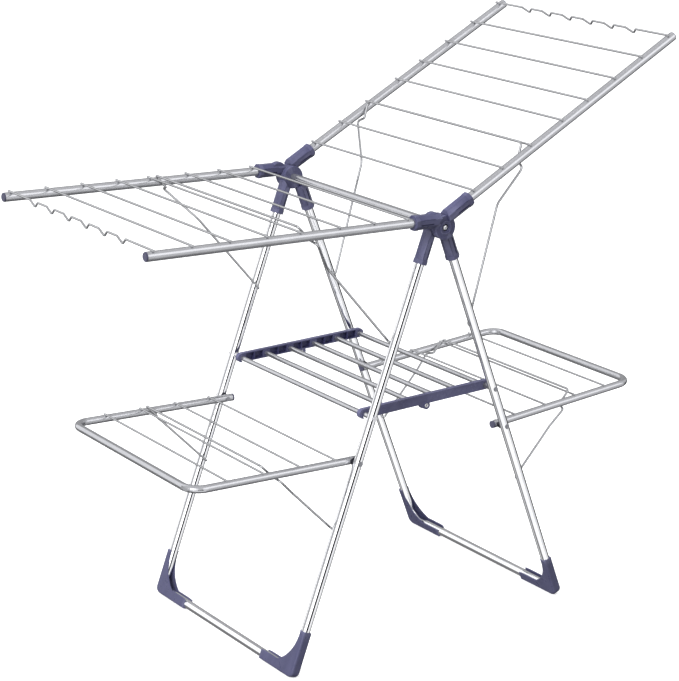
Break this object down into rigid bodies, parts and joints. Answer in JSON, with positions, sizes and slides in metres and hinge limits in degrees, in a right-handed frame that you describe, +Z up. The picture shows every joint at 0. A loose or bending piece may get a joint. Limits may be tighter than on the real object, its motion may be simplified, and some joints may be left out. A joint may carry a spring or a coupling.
{
  "type": "folding clothes airer",
  "caption": "Folding clothes drying rack with two upper wings, two lower wings, a middle shelf, wire struts and crossed leg frames.",
  "frame": {"origin": "middle of the footprint box on the floor", "axes": "+X across the wings towards the raised right wing, +Y along the hub axle, +Z up"},
  "size_m": [1.2821, 0.57, 1.2092],
  "materials": {
    "chromed_tube": "polished",
    "silver_tube": "satin",
    "silver_wire": "satin",
    "grey_plastic": "matte",
    "dark_plastic": "matte",
    "fastener_steel": "brushed"
  },
  "bodies": {
    "left_legs": {"left_leg_near": "chromed_tube", "left_leg_far": "chromed_tube", "left_frame": "chromed_tube", "left_foot_near": "grey_plastic", "left_foot_far": "grey_plastic", "left_leg_hub_near": "grey_plastic", "left_leg_hub_far": "grey_plastic", "axle_tube": "silver_tube", "axle_plugs": "dark_plastic", "hub_bolts": "fastener_steel", "left_pins": "fastener_steel", "left_rivets": "fastener_steel"},
    "right_legs": {"right_leg_near": "chromed_tube", "right_leg_far": "chromed_tube", "right_frame": "chromed_tube", "right_foot_near": "grey_plastic", "right_foot_far": "grey_plastic", "right_leg_hub_near": "grey_plastic", "right_leg_hub_far": "grey_plastic", "right_rivets": "fastener_steel"},
    "upper_left_wing": {"upper_left_tube_near": "silver_tube", "upper_left_tube_far": "silver_tube", "upper_left_wires": "silver_wire", "upper_left_wavy_wire": "silver_wire", "upper_left_hub_near": "grey_plastic", "upper_left_hub_far": "grey_plastic", "upper_left_plugs": "dark_plastic"},
    "upper_right_wing": {"upper_right_tube_near": "silver_tube", "upper_right_tube_far": "silver_tube", "upper_right_wires": "silver_wire", "upper_right_wavy_wire": "silver_wire", "upper_right_hub_near": "grey_plastic", "upper_right_hub_far": "grey_plastic", "upper_right_plugs": "dark_plastic"},
    "lower_left_wing": {"lower_left_frame": "silver_tube", "lower_left_wires": "silver_wire", "lower_left_plugs": "dark_plastic"},
    "lower_right_wing": {"lower_right_frame": "silver_tube", "lower_right_wires": "silver_wire", "lower_right_plugs": "dark_plastic"},
    "shelf": {"shelf_rail_near": "grey_plastic", "shelf_rail_far": "grey_plastic", "shelf_tubes": "silver_tube"},
    "upper_left_strut_body": {"upper_left_strut": "silver_wire"},
    "upper_right_strut_body": {"upper_right_strut": "silver_wire"},
    "lower_left_strut_body": {"lower_left_strut": "silver_wire"},
    "lower_right_strut_body": {"lower_right_strut": "silver_wire"}
  },
  "joints": [
    {"name": "leg_fold", "type": "hinge", "parent": "left_legs", "child": "right_legs", "pos_m": [0.03729, 0, 0.8825], "axis": [0, 1, 0], "range_deg": [0, 36]},
    {"name": "shelf_fold", "type": "hinge", "parent": "right_legs", "child": "shelf", "pos_m": [0.19265, 0, 0.5128], "axis": [0, 1, 0], "range_deg": [0, 57.6]},
    {"name": "wing_upper_left", "type": "hinge", "parent": "left_legs", "child": "upper_left_wing", "pos_m": [0.03729, 0, 0.8825], "axis": [0, 1, 0], "range_deg": [0, 30]},
    {"name": "strut_upper_left", "type": "hinge", "parent": "left_legs", "child": "upper_left_strut_body", "pos_m": [-0.06362, 0, 0.655], "axis": [0, 1, 0], "range_deg": [0, 18.7]},
    {"name": "wing_upper_right", "type": "hinge", "parent": "right_legs", "child": "upper_right_wing", "pos_m": [0.03729, 0, 0.8825], "axis": [0, -1, 0], "range_deg": [0, 25]},
    {"name": "strut_upper_right", "type": "hinge", "parent": "right_legs", "child": "upper_right_strut_body", "pos_m": [0.13821, 0, 0.655], "axis": [0, -1, 0], "range_deg": [0, 11.3]},
    {"name": "wing_lower_left", "type": "hinge", "parent": "left_legs", "child": "lower_left_wing", "pos_m": [-0.15199, 0, 0.4242], "axis": [0, 1, 0], "range_deg": [0, 75]},
    {"name": "strut_lower_left", "type": "hinge", "parent": "left_legs", "child": "lower_left_strut_body", "pos_m": [-0.20299, 0, 0.291], "axis": [0, 1, 0], "range_deg": [0, 45.1]},
    {"name": "wing_lower_right", "type": "hinge", "parent": "right_legs", "child": "lower_right_wing", "pos_m": [0.22657, 0, 0.4242], "axis": [0, -1, 0], "range_deg": [0, 75]},
    {"name": "strut_lower_right", "type": "hinge", "parent": "right_legs", "child": "lower_right_strut_body", "pos_m": [0.27757, 0, 0.291], "axis": [0, -1, 0], "range_deg": [0, 45.1]}
  ],
  "couplings": [
    {"joint": "shelf_fold", "follows": "leg_fold", "ratio": 1.6},
    {"joint": "strut_upper_left", "follows": "wing_upper_left", "ratio": 0.62},
    {"joint": "strut_upper_right", "follows": "wing_upper_right", "ratio": 0.45},
    {"joint": "strut_lower_left", "follows": "wing_lower_left", "ratio": 0.6},
    {"joint": "strut_lower_right", "follows": "wing_lower_right", "ratio": 0.6}
  ]
}
